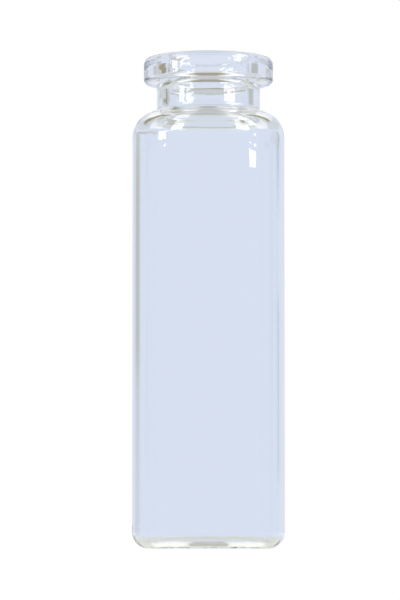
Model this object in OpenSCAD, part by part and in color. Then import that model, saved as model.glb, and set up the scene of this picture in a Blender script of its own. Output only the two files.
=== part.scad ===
// Crimp-neck sample vial for a 20 mm closure. It is drawn from one glass tube, so foot, wall, shoulder,
// neck and flange are one piece of glass: an outside and a chamber, both turned about the vial's axis.
// The origin is on that axis, in the plane that the vial stands on, and the mouth faces up.

/* [Body] */
// Outside diameter of the body
body_d = 23.25; // [22:0.05:25]
// Height from the standing ring to the sealing land
height = 75; // [45:0.5:95]
// Thickness of the wall, in the body and in the shoulder
wall_t = 1; // [0.7:0.05:1.3]

/* [Foot] */
// Outside rounding of the heel
heel_r = 2.4; // [1.6:0.1:3]
// Inside rounding between floor and wall
floor_corner_r = 1.5; // [0.8:0.1:2.5]
// Thickness of the floor above the standing ring
floor_t = 0.8; // [0.7:0.05:1.6]
// Rise of the floor's upper side towards the middle, over the push-up
floor_rise = 0.2; // [0.1:0.05:0.5]
// Rise of the push-up under the middle of the floor
push_up = 0.4; // [0.2:0.05:0.6]
// Width of the flat ring that the vial stands on
ring_w = 0.8; // [0.4:0.1:1.5]

/* [Shoulder] */
// Outside rounding between the body's wall and the shoulder
shoulder_r = 4; // [3:0.1:5]
// Slope of the shoulder where it meets the neck, in degrees
shoulder_slope = 14; // [5:1:20]
// Hollow rounding between shoulder and neck
neck_fillet_r = 0.7; // [0.4:0.1:1.2]
// Rounding at the bore's lower end, where it opens into the chamber
throat_r = 1.5; // [0.8:0.1:2]

/* [Neck] */
// Outside diameter of the neck
neck_d = 15.75; // [15:0.05:16.5]
// Height of the neck between shoulder and flange
neck_h = 3.8; // [3:0.05:6]
// Diameter of the bore that the stopper's plug goes into
bore_d = 12.6; // [12.2:0.05:13]

/* [Crimp flange] */
// Diameter of the flange that the crimp cap closes round
flange_d = 19.8; // [19:0.05:20.2]
// Height of the flange at its rim
flange_h = 3.85; // [3:0.05:4.2]
// Slope of the flange's underside, in degrees
under_slope = 15; // [10:1:30]
// Rounding of the rim's upper edge
rim_top_r = 1; // [0.5:0.1:1.4]
// Rounding of the rim's lower edge
rim_low_r = 0.8; // [0.4:0.05:1]
// Hollow rounding between the flange's underside and the neck
under_fillet_r = 0.7; // [0.4:0.1:1.2]
// Rounding of the bore's upper edge, at the sealing land
lip_r = 0.4; // [0.2:0.05:0.6]

/* [Hidden] */
$fn = 128;

// How far a rounding reaches past the sides it blends, so that they cross and don't just touch
overlap = 0.0002;
// How far a cut runs out past the glass
spare = 1;
// Straight stretch that is left at least between two roundings
least_land = 0.1;

body_r = body_d / 2;
chamber_r = body_r - wall_t;
neck_r = neck_d / 2;
bore_r = bore_d / 2;
flange_r = flange_d / 2;

// The flange's underside drops towards the neck, and the shoulder drops from the neck to the wall.
rim_low_z = height - flange_h;
under_z = rim_low_z - (flange_r - neck_r) * tan(under_slope);
shoulder_top_z = under_z - neck_h;
shoulder_low_z = shoulder_top_z - (body_r - neck_r) * tan(shoulder_slope);

// The shoulder's rounding shares the slope with the neck's fillet, so it grows no larger than the room there.
slope_length = (body_r - neck_r) / cos(shoulder_slope);
slope_room = (slope_length - least_land) * tan(45 + shoulder_slope / 2) - neck_fillet_r;
shoulder_bend_r = min(shoulder_r, slope_room);

// The shoulder's inside is one wall's thickness below its outside, measured square to the glass.
chamber_top_z = shoulder_low_z + wall_t * tan(shoulder_slope) - wall_t / cos(shoulder_slope);
throat_z = chamber_top_z + (chamber_r - bore_r) * tan(shoulder_slope);

// Both sides of the floor are domed, each by a shallow cap of a large ball, as wide as the inside of the
// standing ring.
dome_r = body_r - heel_r - ring_w;

// Corners of the two outlines, anticlockwise from the foot: radius, height and rounding
outside = [
    [0, 0, 0],
    [body_r, 0, heel_r],
    [body_r, shoulder_low_z, shoulder_bend_r],
    [neck_r, shoulder_top_z, neck_fillet_r],
    [neck_r, under_z, under_fillet_r],
    [flange_r, rim_low_z, rim_low_r],
    [flange_r, height, rim_top_r],
    [0, height, 0],
];
chamber = [
    [0, floor_t, 0],
    [chamber_r, floor_t, floor_corner_r],
    [chamber_r, chamber_top_z, shoulder_bend_r - wall_t],
    [bore_r, throat_z, throat_r],
    [bore_r, height, lip_r],
    [flange_r, height, 0],
    [flange_r, height + spare, 0],
    [0, height + spare, 0],
];

function unit(v) = v / norm(v);
function point(corners, i) = let (c = corners[(i + len(corners)) % len(corners)]) [c.x, c.y];
function rounding(corners, i) = corners[i].z;

// Directions from a corner to the one before it and to the one after it, and half the angle between them
function back(corners, i) = unit(point(corners, i - 1) - point(corners, i));
function ahead(corners, i) = unit(point(corners, i + 1) - point(corners, i));
function half_angle(corners, i) = acos(back(corners, i) * ahead(corners, i)) / 2;
function is_hollow(corners, i) = cross(back(corners, i), ahead(corners, i)) > 0;

// The two ends of a corner's rounding, and the middle of its arc
function arc_ends(corners, i) =
    let (along = rounding(corners, i) / tan(half_angle(corners, i)))
    [point(corners, i) + back(corners, i) * along, point(corners, i) + ahead(corners, i) * along];
function arc_middle(corners, i) =
    let (inward = unit(back(corners, i) + ahead(corners, i)))
    point(corners, i) + inward * rounding(corners, i) / sin(half_angle(corners, i));

// A sharp corner stays one point, and a rounded one is cut straight across between the ends of its arc.
function cut_corner(corners, i) = rounding(corners, i) > 0 ? arc_ends(corners, i) : [point(corners, i)];

module rounding_circle(corners, i) {
    translate(arc_middle(corners, i)) circle(r = rounding(corners, i) + overlap);
}

// An outline whose corners are first cut across and then rounded, each by a circle of its own
module rounded_outline(corners) {
    all = [0:len(corners) - 1];
    rounded = [for (i = all) if (rounding(corners, i) > 0) i];
    difference() {
        union() {
            polygon([for (i = all, p = cut_corner(corners, i)) p]);
            for (i = rounded) if (!is_hollow(corners, i)) rounding_circle(corners, i);
        }
        for (i = rounded) if (is_hollow(corners, i)) rounding_circle(corners, i);
    }
}

// The ball whose cap is as high as the dome rises, with its crown that far above a level
module dome_ball(level, rise) {
    ball_r = (dome_r ^ 2 + rise ^ 2) / (2 * rise);
    translate([0, level + rise - ball_r]) circle(r = ball_r);
}

// The hollow under the floor, and the plane that trims the heel to a flat standing ring
module foot_cut() {
    dome_ball(0, push_up);
    translate([0, -spare]) square([body_d, spare]);
}

module vial() {
    color([0.84, 0.88, 0.95, 0.45]) rotate_extrude() difference() {
        rounded_outline(outside);
        difference() {
            rounded_outline(chamber);
            dome_ball(floor_t, floor_rise);
        }
        foot_cut();
    }
}

vial();
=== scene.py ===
"""Looks of the glass sample vial: the glass itself, and the plain studio that it is shown in.

The vial is one piece of clear glass. Its half section is traced corner by corner, spun about its
axis and dressed in a pale glass. The studio is a white floor in a white surround, with a pale blue
backdrop, grey cards that draw the glass's edges, and softboxes. Only the glass shows the cards: the
camera, the floor's light and the shadows pass them by.
"""

import logging
import math
from abc import ABC, abstractmethod
from dataclasses import dataclass
from enum import Enum

import bpy
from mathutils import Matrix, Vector


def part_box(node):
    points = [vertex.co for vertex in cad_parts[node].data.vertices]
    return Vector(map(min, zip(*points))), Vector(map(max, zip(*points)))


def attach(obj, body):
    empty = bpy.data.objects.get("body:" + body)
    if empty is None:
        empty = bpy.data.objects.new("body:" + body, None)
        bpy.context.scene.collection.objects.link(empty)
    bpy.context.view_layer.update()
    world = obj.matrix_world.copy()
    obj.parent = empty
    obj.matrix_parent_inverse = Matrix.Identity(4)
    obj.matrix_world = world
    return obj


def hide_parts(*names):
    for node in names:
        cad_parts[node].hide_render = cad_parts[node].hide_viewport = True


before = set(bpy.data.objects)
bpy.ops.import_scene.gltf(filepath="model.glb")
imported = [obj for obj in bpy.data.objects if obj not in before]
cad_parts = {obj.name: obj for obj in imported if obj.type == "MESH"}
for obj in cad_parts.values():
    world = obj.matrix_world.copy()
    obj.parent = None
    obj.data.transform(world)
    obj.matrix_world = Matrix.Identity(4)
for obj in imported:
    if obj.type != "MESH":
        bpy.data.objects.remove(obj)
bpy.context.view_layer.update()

LOG = logging.getLogger("vial")
MM = 0.001

Colour = tuple[float, float, float]
Span = tuple[float, float]
Piece = bpy.types.Object
Material = bpy.types.Material
Tree = bpy.types.NodeTree
Node = bpy.types.Node
Socket = bpy.types.NodeSocket

WHITE: Colour = (1.0, 1.0, 1.0)
FULL_TURN: Span = (-180, 180)
# Side of the small plane that is merged into the first point of a chain of edges
SEED_SIZE = 1.0 * MM
# Light is thrown about many times inside the thick glass of the flange and the foot
LIGHT_BOUNCES = 64


def rgba(colour: Colour) -> tuple[float, float, float, float]:
    """Return a colour with full alpha, as node sockets want it."""
    return (*colour, 1.0)


def new_material(name: str) -> tuple[Material, Tree, Socket]:
    """Make an empty node material.

    Args:
        name: The material's name.

    Returns:
        The material, its node tree with only an output node in it, and that node's surface socket.
    """
    material = bpy.data.materials.new(name)
    material.use_nodes = True
    tree = material.node_tree
    tree.nodes.clear()
    output = tree.nodes.new("ShaderNodeOutputMaterial")
    return material, tree, output.inputs["Surface"]


def object_place(tree: Tree) -> Socket:
    """Return the socket that gives a point's place on its piece."""
    return tree.nodes.new("ShaderNodeTexCoord").outputs["Object"]


def split(tree: Tree, place: Socket) -> Node:
    """Split a place into its three coordinates.

    Args:
        tree: The material's node tree.
        place: Socket that gives the place.

    Returns:
        The node whose outputs X, Y and Z give the coordinates.
    """
    parts = tree.nodes.new("ShaderNodeSeparateXYZ")
    tree.links.new(place, parts.inputs["Vector"])
    return parts


def computed(tree: Tree, operation: str, *values: Socket | float) -> Socket:
    """Work out a number in a material.

    Args:
        tree: The material's node tree.
        operation: Name of the math node's operation.
        values: What it works on, each a socket or a number.

    Returns:
        The socket that gives the result.
    """
    node = tree.nodes.new("ShaderNodeMath")
    node.operation = operation
    for socket, value in zip(node.inputs, values):
        if isinstance(value, Socket):
            tree.links.new(value, socket)
        else:
            socket.default_value = value
    return node.outputs["Value"]


def mapped(
    tree: Tree,
    value: Socket,
    source: Span,
    target: Span = (0.0, 1.0),
    interpolation: str = "LINEAR",
) -> Socket:
    """Map a stretch of a value onto another stretch, held at both ends.

    Args:
        tree: The material's node tree.
        value: Socket that gives the value.
        source: The value's stretch.
        target: What its two ends become.
        interpolation: Name of the map's course between the ends.

    Returns:
        The socket that gives the mapped value.
    """
    node = tree.nodes.new("ShaderNodeMapRange")
    node.interpolation_type = interpolation
    node.inputs["From Min"].default_value, node.inputs["From Max"].default_value = source
    node.inputs["To Min"].default_value, node.inputs["To Max"].default_value = target
    tree.links.new(value, node.inputs["Value"])
    return node.outputs["Result"]


def turned(name: str, chain: list[Vector], sweep: float, steps: int, weld: float) -> Piece:
    """Draw a chain of edges and spin it about the vial's axis.

    Args:
        name: Name of the piece and of its mesh.
        chain: The chain's points in order.
        sweep: Angle of the spin, clockwise from above, in radians.
        steps: Number of steps in it.
        weld: Points nearer than this are merged, on the axis and where a full turn closes.

    Returns:
        The piece, as the only one selected.
    """
    bpy.ops.object.select_all(action="DESELECT")
    bpy.ops.mesh.primitive_plane_add(size=SEED_SIZE, location=chain[0])
    piece = bpy.context.object
    piece.name = piece.data.name = name
    bpy.ops.object.transform_apply(location=True, rotation=True, scale=True)
    bpy.ops.object.mode_set(mode="EDIT")
    bpy.ops.mesh.select_all(action="SELECT")
    bpy.ops.mesh.merge(type="CENTER")
    for here, there in zip(chain, chain[1:]):
        bpy.ops.mesh.extrude_vertices_move(TRANSFORM_OT_translate={"value": there - here})
    bpy.ops.mesh.select_all(action="SELECT")
    bpy.ops.mesh.spin(steps=steps, angle=sweep, center=(0, 0, 0), axis=(0, 0, 1))
    bpy.ops.mesh.select_all(action="SELECT")
    bpy.ops.mesh.remove_doubles(threshold=weld)
    bpy.ops.object.mode_set(mode="OBJECT")
    return piece


@dataclass(frozen=True)
class ClearGlass:
    """Fire-polished tube glass with a pale blue cast.

    The body keeps the drawn tube's even surface. Forming leaves the glass slightly wavy on the
    shoulder, neck and flange, and at the foot.

    Attributes:
        tint: Colour that light takes on each time it crosses a surface.
        ior: Refractive index of the glass.
        roughness: Roughness of the polished surface.
        wave_pitch: Size of the waves along the surface.
        wave_detail: Number of finer waves laid over the main ones.
        wave_height: Height of the waves.
        wave_from: Height on the vial at which the upper waves set in.
        wave_full: Height on the vial at which they have grown to the full.
        wave_foot: Height on the vial below which the foot's waves grow.
        foot_strength: How strong they are on the ground, where 1 is the strength at the flange.
        name: The material's name.
    """

    tint: Colour = (0.96, 0.972, 0.99)
    ior: float = 1.50
    roughness: float = 0.0
    wave_pitch: float = 2.2 * MM
    wave_detail: float = 1.0
    wave_height: float = 0.04 * MM
    wave_from: float = 58.0 * MM
    wave_full: float = 72.0 * MM
    wave_foot: float = 4.5 * MM
    foot_strength: float = 1.6
    name: str = "clear_glass"

    def material(self) -> Material:
        """Build the glass material.

        Returns:
            The material.
        """
        material, tree, surface = new_material(self.name)
        glass = tree.nodes.new("ShaderNodeBsdfPrincipled")
        glass.inputs["Base Color"].default_value = rgba(self.tint)
        glass.inputs["Transmission Weight"].default_value = 1.0
        glass.inputs["IOR"].default_value = self.ior
        glass.inputs["Roughness"].default_value = self.roughness
        tree.links.new(self.waves(tree), glass.inputs["Normal"])
        tree.links.new(glass.outputs["BSDF"], surface)
        return material

    def waves(self, tree: Tree) -> Socket:
        """Make the waves that forming leaves in the glass.

        Args:
            tree: The material's node tree.

        Returns:
            The socket that gives the direction of the wavy surface.
        """
        place = object_place(tree)
        height = split(tree, place).outputs["Z"]
        above = mapped(tree, height, (self.wave_from, self.wave_full))
        below = mapped(tree, height, (self.wave_foot, 0.0), (0.0, self.foot_strength))
        noise = tree.nodes.new("ShaderNodeTexNoise")
        noise.inputs["Scale"].default_value = 1.0 / self.wave_pitch
        noise.inputs["Detail"].default_value = self.wave_detail
        wavy = tree.nodes.new("ShaderNodeBump")
        wavy.inputs["Distance"].default_value = self.wave_height
        tree.links.new(place, noise.inputs["Vector"])
        tree.links.new(computed(tree, "MAXIMUM", above, below), wavy.inputs["Strength"])
        tree.links.new(noise.outputs[0], wavy.inputs["Height"])
        return wavy.outputs["Normal"]


@dataclass(frozen=True)
class Corner:
    """A corner of the vial's half section, in metres.

    Attributes:
        radius: Distance from the vial's axis.
        height: Height above the standing ring.
        rounding: Radius that rounds the corner, or 0 where it stays sharp.
    """

    radius: float
    height: float
    rounding: float = 0.0

    @property
    def place(self) -> Vector:
        """The corner as a point in the plane of the section."""
        return Vector((self.radius, self.height))

    def rounded(self, before: "Corner", after: "Corner", step: float) -> list[Vector]:
        """Trace the arc that rounds the corner.

        Args:
            before: The corner before it.
            after: The corner after it.
            step: Largest turn between two points of the arc, in radians.

        Returns:
            The arc's points in order, or the corner alone where it is sharp.
        """
        if self.rounding == 0.0:
            return [self.place]
        back = (before.place - self.place).normalized()
        ahead = (after.place - self.place).normalized()
        half = back.angle(ahead) / 2
        middle = self.place + (back + ahead).normalized() * self.rounding / math.sin(half)
        start = self.place + back * self.rounding / math.tan(half) - middle
        sweep = math.pi - 2 * half
        way = 1.0 if back.x * ahead.y < back.y * ahead.x else -1.0
        count = math.ceil(sweep / step)
        arc = []
        for index in range(count + 1):
            turn = way * sweep * index / count
            cosine, sine = math.cos(turn), math.sin(turn)
            spoke = (start.x * cosine - start.y * sine, start.x * sine + start.y * cosine)
            arc.append(middle + Vector(spoke))
        return arc


@dataclass(frozen=True)
class GlassVial:
    """The vial: foot, body, shoulder, neck and crimp flange in one piece of glass.

    Attributes:
        body_radius: Outside radius of the body.
        height: Height from the standing ring to the sealing land.
        wall: Thickness of the body's and the shoulder's wall.
        heel_rounding: Outside rounding of the heel.
        floor_corner: Inside rounding between floor and wall.
        floor_thickness: Thickness of the floor at its edge.
        push_up: Rise of the hollow under the middle of the floor.
        floor_rise: Rise of the floor's upper side towards the middle.
        ring_width: Width of the flat ring that the vial stands on.
        shoulder_rounding: Outside rounding between body and shoulder.
        shoulder_slope: Slope of the shoulder, in radians.
        neck_fillet: Hollow rounding between shoulder and neck.
        throat_rounding: Rounding where the bore opens into the chamber.
        neck_radius: Outside radius of the neck.
        neck_height: Height of the neck between shoulder and flange.
        bore_radius: Radius of the bore that the stopper's plug goes into.
        flange_radius: Radius of the flange that the crimp cap closes round.
        flange_height: Height of the flange at its rim.
        under_slope: Slope of the flange's underside, in radians.
        rim_top_rounding: Rounding of the rim's upper edge.
        rim_low_rounding: Rounding of the rim's lower edge.
        under_fillet: Hollow rounding between the flange's underside and the neck.
        lip_rounding: Rounding of the bore's upper edge.
        finish: The glass that it is made of.
        arc_step: Largest turn between two points of a rounding, in radians.
        dome_steps: Number of stretches in the push-up and in the floor's rise.
        guard: How far from its ends a straight stretch gets a point that keeps its shading flat.
        guards_apart: Shortest stretch that gets such points, as a multiple of guard.
        sides: Number of steps in which the section is spun.
        weld: Points nearer than this are merged.
        name: The piece's name.
    """

    body_radius: float
    height: float
    wall: float = 1.0 * MM
    heel_rounding: float = 2.4 * MM
    floor_corner: float = 1.5 * MM
    floor_thickness: float = 0.8 * MM
    push_up: float = 0.4 * MM
    floor_rise: float = 0.2 * MM
    ring_width: float = 0.8 * MM
    shoulder_rounding: float = 4.0 * MM
    shoulder_slope: float = math.radians(14)
    neck_fillet: float = 0.7 * MM
    throat_rounding: float = 1.5 * MM
    neck_radius: float = 15.75 / 2 * MM
    neck_height: float = 3.8 * MM
    bore_radius: float = 12.6 / 2 * MM
    flange_radius: float = 19.8 / 2 * MM
    flange_height: float = 3.85 * MM
    under_slope: float = math.radians(15)
    rim_top_rounding: float = 1.0 * MM
    rim_low_rounding: float = 0.8 * MM
    under_fillet: float = 0.7 * MM
    lip_rounding: float = 0.4 * MM
    finish: ClearGlass = ClearGlass()
    arc_step: float = math.radians(4)
    dome_steps: int = 24
    guard: float = 0.12 * MM
    guards_apart: float = 3.0
    sides: int = 288
    weld: float = 0.002 * MM
    name: str = "vial_glass"

    def corners(self) -> list[Corner]:
        """Work out the corners of the half section, from the heel up to the lip and down inside.

        Returns:
            The corners in order.
        """
        rim_low = self.height - self.flange_height
        under = rim_low - (self.flange_radius - self.neck_radius) * math.tan(self.under_slope)
        shoulder_top = under - self.neck_height
        slope = math.tan(self.shoulder_slope)
        shoulder_low = shoulder_top - (self.body_radius - self.neck_radius) * slope
        chamber_radius = self.body_radius - self.wall
        chamber_top = shoulder_low + self.wall * slope - self.wall / math.cos(self.shoulder_slope)
        throat = chamber_top + (chamber_radius - self.bore_radius) * slope
        return [
            Corner(self.body_radius, 0.0, self.heel_rounding),
            Corner(self.body_radius, shoulder_low, self.shoulder_rounding),
            Corner(self.neck_radius, shoulder_top, self.neck_fillet),
            Corner(self.neck_radius, under, self.under_fillet),
            Corner(self.flange_radius, rim_low, self.rim_low_rounding),
            Corner(self.flange_radius, self.height, self.rim_top_rounding),
            Corner(self.bore_radius, self.height, self.lip_rounding),
            Corner(self.bore_radius, throat, self.throat_rounding),
            Corner(chamber_radius, chamber_top, self.shoulder_rounding - self.wall),
            Corner(chamber_radius, self.floor_thickness, self.floor_corner),
        ]

    def dome(self, base: float, rise: float) -> list[Vector]:
        """Trace a shallow cap of a large ball over the room inside the standing ring.

        Args:
            base: Height of its rim.
            rise: Height of its middle above the rim.

        Returns:
            Its points from the axis out to the rim, or one on the axis where it is flat.
        """
        if rise == 0.0:
            return [Vector((0.0, base))]
        reach = self.body_radius - self.heel_rounding - self.ring_width
        ball = (reach**2 + rise**2) / (2 * rise)
        middle = base + rise - ball
        widest = math.asin(reach / ball)
        turns = [widest * index / self.dome_steps for index in range(self.dome_steps + 1)]
        return [Vector((ball * math.sin(t), middle + ball * math.cos(t))) for t in turns]

    def guarded(self, start: Vector, end: Vector) -> list[Vector]:
        """Place points just inside both ends of a straight stretch, so that its shading stays flat.

        Args:
            start: The stretch's first end.
            end: Its other end.

        Returns:
            The two points, or none where the stretch is too short.
        """
        length = (end - start).length
        if length < self.guards_apart * self.guard:
            return []
        along = (end - start) / length
        return [start + along * self.guard, end - along * self.guard]

    def section(self) -> list[Vector]:
        """Trace the half section, from the axis under the floor to the axis on top of it.

        Returns:
            The section's points in order.
        """
        points = self.dome(0.0, self.push_up)
        foot = Corner(points[-1].x, 0.0)
        top = Corner(0.0, self.floor_thickness)
        ring = [foot, *self.corners(), top]
        for before, corner, after in zip(ring, ring[1:], ring[2:]):
            arc = corner.rounded(before, after, self.arc_step)
            points.extend(self.guarded(points[-1], arc[0]))
            points.extend(arc)
        cap = self.dome(self.floor_thickness, self.floor_rise)
        cap.reverse()
        points.extend(self.guarded(points[-1], cap[0]))
        points.extend(cap)
        return points

    def build(self) -> Piece:
        """Spin the half section into the closed piece of glass.

        Returns:
            The piece, with its faces pointing outwards.
        """
        chain = [Vector((point.x, 0.0, point.y)) for point in self.section()]
        vial = turned(self.name, chain, math.tau, self.sides, self.weld)
        bpy.ops.object.mode_set(mode="EDIT")
        bpy.ops.mesh.select_all(action="SELECT")
        bpy.ops.mesh.normals_make_consistent(inside=False)
        bpy.ops.object.mode_set(mode="OBJECT")
        bpy.ops.object.shade_smooth()
        return vial

    def dress(self, vial: Piece) -> None:
        """Give the piece its glass and tie it to the frame.

        Args:
            vial: The piece.
        """
        vial.data.materials.clear()
        vial.data.materials.append(self.finish.material())
        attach(vial, "root")
        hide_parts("vial")


class Seen(Enum):
    """Through which rays the glass shows a card."""

    BOTH = "both"
    THROUGH = "through"
    MIRRORED = "mirrored"


@dataclass(frozen=True)
class Shade:
    """The colour of a card at one place across it.

    Attributes:
        place: Height above the ground on a standing card, distance from the axis on a lying one.
        colour: The colour there.
    """

    place: float
    colour: Colour


@dataclass(frozen=True)
class CardFinish:
    """The light that a studio card shows to the glass, graded from one edge to the other.

    Attributes:
        shades: Colours in order of place; one alone makes a plain card.
        strength: How brightly it is lit, where 1 shows the colours as they are.
        seen: Whether the glass shows it through itself, mirrored in its surface, or both.
    """

    shades: tuple[Shade, ...]
    strength: float = 1.0
    seen: Seen = Seen.BOTH

    @classmethod
    def plain(cls, colour: Colour, strength: float = 1.0, seen: Seen = Seen.BOTH) -> "CardFinish":
        """Return the finish of a card with the same colour all over."""
        return cls((Shade(0.0, colour),), strength, seen)

    def light(self, tree: Tree, across: Socket) -> Socket:
        """Make the light that the card gives.

        Args:
            tree: The material's node tree.
            across: Socket that gives the place across the card.

        Returns:
            The socket that gives the light.
        """
        emission = tree.nodes.new("ShaderNodeEmission")
        emission.inputs["Color"].default_value = rgba(self.shades[0].colour)
        emission.inputs["Strength"].default_value = self.strength
        if len(self.shades) > 1:
            tree.links.new(self.grading(tree, across), emission.inputs["Color"])
        return emission.outputs["Emission"]

    def grading(self, tree: Tree, across: Socket) -> Socket:
        """Grade the colour from one edge to the other.

        Args:
            tree: The material's node tree.
            across: Socket that gives the place across the card.

        Returns:
            The socket that gives the graded colour.
        """
        first, last = self.shades[0].place, self.shades[-1].place
        ramp = tree.nodes.new("ShaderNodeValToRGB")
        stops = ramp.color_ramp.elements
        while len(stops) < len(self.shades):
            stops.new(1.0)
        for stop, shade in zip(stops, self.shades):
            stop.position = (shade.place - first) / (last - first)
            stop.color = rgba(shade.colour)
        tree.links.new(mapped(tree, across, (first, last)), ramp.inputs["Fac"])
        return ramp.outputs["Color"]


@dataclass(frozen=True)
class Card(ABC):
    """A studio card that is spun about the vial from one straight edge.

    Attributes:
        name: The card's name.
        azimuths: Where its two sides stand, clockwise from straight behind the vial, in degrees.
        span: Heights of a standing card's two edges, or distances of a lying one's from the axis.
        seat: Distance of a standing card from the axis, or height of a lying one.
        finish: The light that it shows.
        fade: Width over which its sides fade away, in degrees.
        melt: Width over which the two edges of its span fade away.
        step: Largest step of the spin, in radians.
        least_steps: Fewest steps of the spin.
        weld: Points nearer than this are merged.
    """

    name: str
    azimuths: Span
    span: Span
    seat: float
    finish: CardFinish
    fade: float = 0.0
    melt: float = 0.0
    step: float = math.radians(3)
    least_steps: int = 2
    weld: float = 0.001 * MM

    @property
    def sweep(self) -> float:
        """The angle that the card takes up about the vial, in radians."""
        return math.radians(self.azimuths[1] - self.azimuths[0])

    def side(self, reach: float, level: float) -> Vector:
        """Return the point of the first side at a distance from the axis and a height."""
        turn = math.radians(self.azimuths[0])
        return Vector((reach * math.sin(turn), reach * math.cos(turn), level))

    @abstractmethod
    def point(self, across: float) -> Vector:
        """Find a point of the card's first side.

        Args:
            across: Place across the card.

        Returns:
            The point.
        """

    @abstractmethod
    def across(self, tree: Tree, parts: Node) -> Socket:
        """Measure the place across the card.

        Args:
            tree: The material's node tree.
            parts: Node that gives a point's coordinates, turned to the card's middle azimuth.

        Returns:
            The socket that gives the place.
        """

    def build(self) -> Piece:
        """Spin the card's first side about the vial.

        Returns:
            The card.
        """
        steps = max(self.least_steps, math.ceil(self.sweep / self.step))
        chain = [self.point(place) for place in self.span]
        return turned(self.name, chain, self.sweep, steps, self.weld)

    def dress(self, card: Piece) -> None:
        """Give the card its finish, and keep it out of the picture and off the floor's light.

        Args:
            card: The card.
        """
        card.data.materials.append(self.material())
        card.visible_camera = False
        card.visible_diffuse = False
        card.visible_shadow = False
        card.visible_transmission = self.finish.seen is not Seen.MIRRORED
        card.visible_glossy = self.finish.seen is not Seen.THROUGH

    def material(self) -> Material:
        """Build the card's material, clear where its edges have faded away.

        Returns:
            The material.
        """
        material, tree, surface = new_material(self.name)
        faced = tree.nodes.new("ShaderNodeMapping")
        faced.inputs["Rotation"].default_value = (0, 0, math.radians(sum(self.azimuths) / 2))
        tree.links.new(object_place(tree), faced.inputs["Vector"])
        parts = split(tree, faced.outputs["Vector"])
        across = self.across(tree, parts)
        shown = self.finish.light(tree, across)
        for cover in self.covers(tree, parts, across):
            clear = tree.nodes.new("ShaderNodeBsdfTransparent")
            blend = tree.nodes.new("ShaderNodeMixShader")
            tree.links.new(cover, blend.inputs[0])
            tree.links.new(clear.outputs[0], blend.inputs[1])
            tree.links.new(shown, blend.inputs[2])
            shown = blend.outputs[0]
        tree.links.new(shown, surface)
        material.cycles.emission_sampling = "NONE"
        return material

    def covers(self, tree: Tree, parts: Node, across: Socket) -> list[Socket]:
        """Work out how fully the card covers a point near its edges.

        Args:
            tree: The material's node tree.
            parts: Node that gives the point's coordinates, turned to the card's middle azimuth.
            across: Socket that gives the place across the card.

        Returns:
            One socket for each pair of faded edges: 1 on the card and 0 at its edges.
        """
        found = []
        if self.fade:
            turn = computed(tree, "ARCTAN2", parts.outputs["X"], parts.outputs["Y"])
            found.append(self.cover(tree, turn, self.sweep / 2, math.radians(self.fade)))
        if self.melt:
            low, high = self.span
            off = computed(tree, "SUBTRACT", across, (low + high) / 2)
            found.append(self.cover(tree, off, (high - low) / 2, self.melt))
        return found

    @staticmethod
    def cover(tree: Tree, off: Socket, half: float, soft: float) -> Socket:
        """Fade from 1 to 0 towards both edges of a pair.

        Args:
            tree: The material's node tree.
            off: Socket that gives the distance from the card's middle, with its sign.
            half: Distance from the middle to an edge.
            soft: Width of the fading.

        Returns:
            The socket that gives the fading.
        """
        size = computed(tree, "ABSOLUTE", off)
        return mapped(tree, size, (half - soft, half), (1.0, 0.0), "SMOOTHSTEP")


@dataclass(frozen=True)
class StandingCard(Card):
    """A card that stands round the vial, curved about it."""

    def point(self, across: float) -> Vector:
        """Return the point of the card's first side at a height."""
        return self.side(self.seat, across)

    def across(self, tree: Tree, parts: Node) -> Socket:
        """Return the socket that gives the height."""
        return parts.outputs["Z"]


@dataclass(frozen=True)
class LyingCard(Card):
    """A card that lies level: a disc, a ring or a part of one."""

    def point(self, across: float) -> Vector:
        """Return the point of the card's first side at a distance from the axis."""
        return self.side(across, self.seat)

    def across(self, tree: Tree, parts: Node) -> Socket:
        """Measure the distance from the axis.

        Args:
            tree: The material's node tree.
            parts: Node that gives a point's coordinates.

        Returns:
            The socket that gives the distance.
        """
        level = tree.nodes.new("ShaderNodeCombineXYZ")
        reach = tree.nodes.new("ShaderNodeVectorMath")
        reach.operation = "LENGTH"
        tree.links.new(parts.outputs["X"], level.inputs["X"])
        tree.links.new(parts.outputs["Y"], level.inputs["Y"])
        tree.links.new(level.outputs["Vector"], reach.inputs[0])
        return reach.outputs["Value"]


@dataclass(frozen=True)
class FloorWhite:
    """Matt white that shows as white and still takes a shadow.

    Attributes:
        glow: Light that it gives of itself.
        grey: Share of the light on it that it throws back, which a shadow takes away.
        name: The material's name.
    """

    glow: float = 0.88
    grey: float = 0.13
    name: str = "studio_white"

    def material(self) -> Material:
        """Build the floor's material.

        Returns:
            The material.
        """
        material, tree, surface = new_material(self.name)
        light = tree.nodes.new("ShaderNodeEmission")
        light.inputs["Strength"].default_value = self.glow
        matt = tree.nodes.new("ShaderNodeBsdfDiffuse")
        matt.inputs["Color"].default_value = rgba((self.grey, self.grey, self.grey))
        both = tree.nodes.new("ShaderNodeAddShader")
        tree.links.new(light.outputs[0], both.inputs[0])
        tree.links.new(matt.outputs[0], both.inputs[1])
        tree.links.new(both.outputs[0], surface)
        return material


@dataclass(frozen=True)
class StudioFloor:
    """The floor under the vial.

    Attributes:
        reach: Distance from its middle to its sides.
        drop: How far it lies below the standing ring, so that the two stay apart.
        finish: What it is covered with.
    """

    reach: float = 3.0
    drop: float = 0.05 * MM
    finish: FloorWhite = FloorWhite()

    def build(self) -> Piece:
        """Lay the floor.

        Returns:
            The floor.
        """
        bpy.ops.object.select_all(action="DESELECT")
        bpy.ops.mesh.primitive_plane_add(size=2 * self.reach, location=(0, 0, -self.drop))
        floor = bpy.context.object
        floor.name = "studio_floor"
        return floor

    def dress(self, floor: Piece) -> None:
        """Give the floor its finish.

        Args:
            floor: The floor.
        """
        floor.data.materials.append(self.finish.material())


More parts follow.
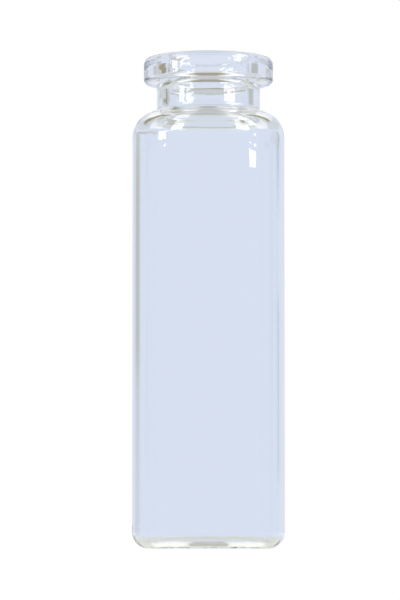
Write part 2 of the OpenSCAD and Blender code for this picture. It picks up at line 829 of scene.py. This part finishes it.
@dataclass(frozen=True)
class Studio:
    """The white surround, and the backdrop, cards and softboxes that the glass shows.

    Cards that stand one before the other keep a small distance, so that each has its own seat.

    Attributes:
        blue: Colour of the backdrop.
        backdrop_seat: Distance of the backdrop from the vial's axis.
        backdrop_top: Height of the backdrop.
        edge_seat: Distance of the cards that draw the body's and the neck's edges.
        edge_gap: Distance between two of them.
        upper_span: Lower and upper edge of the upper surround.
        upper_seat: Distance of the upper surround.
        front_seat: Distance of its front part, on the camera's side.
        panel_seat: Distance of the tall white panels.
        tall_seat: Distance of the tall dark and olive cards and of the side panels.
        low_panel_seat: Distance of the low white panels.
        softbox_seat: Distance of the softboxes.
        dim_seat: Distance of the dim softbox.
        backdrop_level: Height of the backdrop's lying part, between the floor and the vial.
        shade_ring_level: Height of the card under the foot, painted shade on the floor: olive grey
            under the foot, graded out to the backdrop's blue.
        light_level: Height of the two light cards on it, painted pools of light on the floor.
        shadow_level: Height of the dark card on those, a painted shadow of the vial on the floor.
        foot_melt: Width over which the edges of those three fade away.
    """

    blue: Colour = (0.729, 0.781, 0.889)
    backdrop_seat: float = 0.30
    backdrop_top: float = 0.14
    edge_seat: float = 0.28
    edge_gap: float = 1.0 * MM
    upper_span: Span = (0.18, 1.10)
    upper_seat: float = 0.64
    front_seat: float = 0.63
    panel_seat: float = 0.61
    tall_seat: float = 0.60
    low_panel_seat: float = 0.595
    softbox_seat: float = 0.59
    dim_seat: float = 0.588
    backdrop_level: float = -0.032 * MM
    shade_ring_level: float = -0.025 * MM
    light_level: float = -0.020 * MM
    shadow_level: float = -0.018 * MM
    foot_melt: float = 1.5 * MM

    def build_world(self) -> None:
        """Put plain white all round, which shows behind the vial and lights the floor."""
        world = bpy.data.worlds.new("surround")
        world.use_nodes = True
        background = world.node_tree.nodes["Background"]
        background.inputs["Color"].default_value = rgba(WHITE)
        background.inputs["Strength"].default_value = 1.0
        bpy.context.scene.world = world

    def cards(self) -> list[Card]:
        """List all the cards, from the backdrop to those under the foot.

        Returns:
            The cards.
        """
        return [
            *self.backdrop(),
            *self.edge_cards(),
            *self.upper_cards(),
            *self.panels(),
            *self.side_cards(),
            *self.softboxes(),
            *self.level_cards(),
        ]

    def backdrop(self) -> list[Card]:
        """List the backdrop, and its front part, which the glass shows only through itself.

        Returns:
            The cards.
        """
        span = (0.0, self.backdrop_top)
        plain = CardFinish.plain(self.blue)
        through = CardFinish.plain(self.blue, seen=Seen.THROUGH)
        return [
            StandingCard("backdrop", (-100, 100), span, self.backdrop_seat, plain),
            StandingCard("backdrop_front", (100, 260), span, self.backdrop_seat, through),
        ]

    def edge_cards(self) -> list[Card]:
        """List the cards before the backdrop, which draw the edges of the body and the neck.

        Returns:
            The cards.
        """
        left = CardFinish(
            (
                Shade(0.010, (0.62, 0.655, 0.73)),
                Shade(0.036, (0.59, 0.61, 0.65)),
                Shade(0.046, (0.51, 0.515, 0.50)),
                Shade(0.070, (0.50, 0.505, 0.49)),
                Shade(0.085, (0.51, 0.51, 0.465)),
                Shade(0.102, (0.57, 0.61, 0.63)),
            )
        )
        brown = CardFinish(
            (Shade(0.098, (0.26, 0.27, 0.18)), Shade(0.110, (0.34, 0.30, 0.20))),
            seen=Seen.THROUGH,
        )
        grey = CardFinish.plain((0.57, 0.56, 0.53), seen=Seen.THROUGH)
        right = CardFinish.plain((0.47, 0.49, 0.46), seen=Seen.THROUGH)
        faint = CardFinish(
            (
                Shade(0.011, (0.70, 0.755, 0.86)),
                Shade(0.018, (0.57, 0.61, 0.71)),
                Shade(0.053, (0.54, 0.58, 0.69)),
                Shade(0.061, (0.68, 0.73, 0.83)),
                Shade(0.075, (0.68, 0.73, 0.83)),
                Shade(0.083, (0.58, 0.62, 0.73)),
                Shade(0.090, (0.44, 0.48, 0.58)),
            )
        )
        first = self.edge_seat
        second = first + self.edge_gap
        third = second + self.edge_gap
        top = (0.106, 0.120)
        return [
            StandingCard("card_left", (-50, -26), (0.0, 0.108), first, left, fade=4),
            StandingCard("card_brown", (-68, -46), (0.096, 0.110), first, brown, fade=6),
            StandingCard("card_brown_top", (-68, -30), top, second, brown, fade=12),
            StandingCard("card_grey_top", (-34, -4), top, third, grey, fade=8),
            StandingCard("card_right", (34, 68), (0.094, 0.120), first, right, fade=8),
            StandingCard("card_faint", (38, 51), (0.0, 0.098), second, faint, fade=3),
        ]

    def upper_cards(self) -> list[Card]:
        """List the upper surround, and the dark card whose image lies in the flange and the foot.

        Returns:
            The cards.
        """
        upper = CardFinish(
            (
                Shade(0.18, (0.72, 0.77, 0.86)),
                Shade(0.24, (0.65, 0.69, 0.74)),
                Shade(0.40, (0.65, 0.67, 0.66)),
                Shade(0.50, (0.64, 0.64, 0.50)),
                Shade(1.00, (0.52, 0.52, 0.40)),
            )
        )
        front = CardFinish.plain((0.44, 0.44, 0.40))
        dark = CardFinish(
            (
                Shade(0.18, (0.75, 0.78, 0.80)),
                Shade(0.235, (0.73, 0.76, 0.72)),
                Shade(0.27, (0.56, 0.56, 0.46)),
                Shade(0.31, (0.36, 0.34, 0.27)),
                Shade(0.35, (0.30, 0.28, 0.22)),
                Shade(0.46, (0.39, 0.37, 0.33)),
                Shade(0.60, (0.46, 0.44, 0.41)),
                Shade(1.05, (0.58, 0.56, 0.53)),
            )
        )
        span = self.upper_span
        return [
            StandingCard("surround_upper", FULL_TURN, span, self.upper_seat, upper),
            StandingCard("surround_front", (142, 218), span, self.front_seat, front, fade=10),
            StandingCard("card_dark", (-7.5, 7.5), (0.18, 1.08), self.tall_seat, dark, fade=3),
        ]

    def panels(self) -> list[Card]:
        """List the white panels on both sides of the dark card.

        Returns:
            The cards.
        """
        white = CardFinish.plain(WHITE, strength=1.05)
        tall, tall_seat = (0.31, 0.90), self.panel_seat
        low, low_seat = (0.185, 0.32), self.low_panel_seat
        return [
            StandingCard("panel_left", (-28, -8), tall, tall_seat, white, fade=2, melt=0.04),
            StandingCard("panel_right", (8, 28), tall, tall_seat, white, fade=2, melt=0.04),
            StandingCard("panel_left_low", (-12, -3), low, low_seat, white, fade=2, melt=0.02),
            StandingCard("panel_right_low", (3, 12), low, low_seat, white, fade=2, melt=0.02),
        ]

    def side_cards(self) -> list[Card]:
        """List the olive cards beside the panels, and the white ones at the vial's sides.

        Returns:
            The cards.
        """
        olive = CardFinish.plain((0.22, 0.22, 0.10), seen=Seen.THROUGH)
        white = CardFinish.plain(WHITE, strength=1.15, seen=Seen.THROUGH)
        left, right, side = (0.31, 1.05), (0.38, 1.05), (0.20, 0.70)
        seat = self.tall_seat
        return [
            StandingCard("card_olive_left", (-66, -26), left, seat, olive, fade=6, melt=0.05),
            StandingCard("card_olive_right", (28, 52), right, seat, olive, fade=6, melt=0.05),
            StandingCard("side_left", (-142, -92), side, seat, white, fade=8, melt=0.05),
            StandingCard("side_right", (76, 130), side, seat, white, fade=8, melt=0.05),
        ]

    def softboxes(self) -> list[Card]:
        """List the softboxes, which the glass mirrors as its highlights.

        Returns:
            The cards.
        """
        lit = CardFinish.plain(WHITE, strength=9.0, seen=Seen.MIRRORED)
        dim = CardFinish.plain((0.8, 0.9, 1.0), strength=4.0, seen=Seen.MIRRORED)
        seat = self.softbox_seat
        top = (0.36, 0.80)
        return [
            StandingCard("strip_left_outer", (-125, -112), (0.138, 0.152), seat, lit),
            StandingCard("strip_left_inner", (-146, -130), (0.138, 0.149), seat, lit),
            StandingCard("strip_right", (119, 145), (0.137, 0.1488), seat, lit),
            StandingCard("softbox_left_low", (-113, -90), (0.1295, 0.1400), self.tall_seat, lit),
            StandingCard("softbox_left", (-141, -122), (0.158, 0.44), seat, lit),
            StandingCard(
                "softbox_left_top", (-126, -104), top, self.dim_seat, dim, fade=4, melt=0.05
            ),
            StandingCard("softbox_right", (115, 137), (0.163, 0.46), seat, lit),
            StandingCard("softbox_right_wide", (96, 115), (0.34, 0.95), seat, lit),
            StandingCard("glint_wide", (104, 116), (0.1200, 0.1262), seat, lit),
            StandingCard("glint_thin", (66, 76), (0.1200, 0.1268), seat, lit),
        ]

    def level_cards(self) -> list[Card]:
        """List the card over the studio, and those that lie between the floor and the vial, with
        painted shade, painted light and a painted shadow under the foot.

        Returns:
            The cards.
        """
        top = CardFinish.plain((0.58, 0.58, 0.58))
        blue = CardFinish.plain(self.blue, seen=Seen.THROUGH)
        # Painted shade on the floor under the foot: olive grey, graded out to the backdrop's blue
        under = CardFinish(
            (
                Shade(0.0, (0.70, 0.725, 0.60)),
                Shade(0.017, (0.70, 0.725, 0.60)),
                Shade(0.026, (0.725, 0.77, 0.80)),
                Shade(0.036, self.blue),
            ),
            seen=Seen.THROUGH,
        )
        # Painted pools of light on the floor under the foot
        light = CardFinish.plain((1.0, 1.0, 0.90), strength=1.08, seen=Seen.THROUGH)
        # Painted shadow of the vial on the floor under its foot
        dark = CardFinish.plain((0.53, 0.53, 0.44), seen=Seen.THROUGH)
        lit, lit_level = (0.0060, 0.0135), self.light_level
        shadow_span, shadow_height = (0.0050, 0.0145), self.shadow_level
        soft = self.foot_melt
        return [
            LyingCard("card_top", FULL_TURN, (0.0, 0.66), self.upper_span[1], top),
            LyingCard("backdrop_foot", FULL_TURN, (0.0125, 0.31), self.backdrop_level, blue),
            LyingCard("foot_shade_ring", FULL_TURN, (0.0, 0.036), self.shade_ring_level, under),
            LyingCard("foot_light_left", (193, 246), lit, lit_level, light, fade=12, melt=soft),
            LyingCard("foot_light_right", (114, 167), lit, lit_level, light, fade=12, melt=soft),
            LyingCard("foot_shadow", (161, 199), shadow_span, shadow_height, dark, fade=2, melt=soft),
        ]


@dataclass(frozen=True)
class ProductCamera:
    """A long lens level with the vial's foot, tipped up to take in its mouth.

    Attributes:
        distance: Distance from the vial's axis.
        height: Height above the standing ring.
        pitch: How far it is tipped up, in radians.
        yaw: How far it is turned to the left, in radians.
        lens: Focal length, in millimetres.
        sensor: Width of its sensor, in millimetres.
        clip: Nearest and farthest distance that it shows.
    """

    distance: float = 0.515
    height: float = 2.5 * MM
    pitch: float = math.radians(3.926)
    yaw: float = math.radians(0.144)
    lens: float = 202.74
    sensor: float = 36.0
    clip: Span = (0.01, 20.0)

    def build(self) -> Piece:
        """Place the camera and make it the scene's.

        Returns:
            The camera.
        """
        data = bpy.data.cameras.new("product_camera")
        camera = bpy.data.objects.new("product_camera", data)
        bpy.context.scene.collection.objects.link(camera)
        data.lens = self.lens
        data.sensor_width = self.sensor
        data.clip_start, data.clip_end = self.clip
        camera.location = (0.0, -self.distance, self.height)
        camera.rotation_euler = (math.pi / 2 + self.pitch, 0.0, self.yaw)
        bpy.context.scene.camera = camera
        return camera


def main() -> None:
    """Build the vial, then the studio and the camera round it."""
    logging.basicConfig(level=logging.INFO, format="%(name)s: %(message)s")
    low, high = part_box("vial")
    studio = Studio()
    studio.build_world()
    vial = GlassVial(body_radius=(high[0] - low[0]) / 2, height=high[2] - low[2])
    for design in (vial, StudioFloor(), *studio.cards()):
        piece = design.build()
        design.dress(piece)
        LOG.info("%s: %d faces", piece.name, len(piece.data.polygons))
    camera = ProductCamera().build()
    LOG.info("%s: %.2f mm lens", camera.name, camera.data.lens)
    scene = bpy.context.scene
    scene.view_settings.view_transform = "Standard"
    scene.cycles.max_bounces = LIGHT_BOUNCES
    scene.cycles.transmission_bounces = LIGHT_BOUNCES
    scene.cycles.glossy_bounces = LIGHT_BOUNCES


if __name__ == "__main__":
    main()
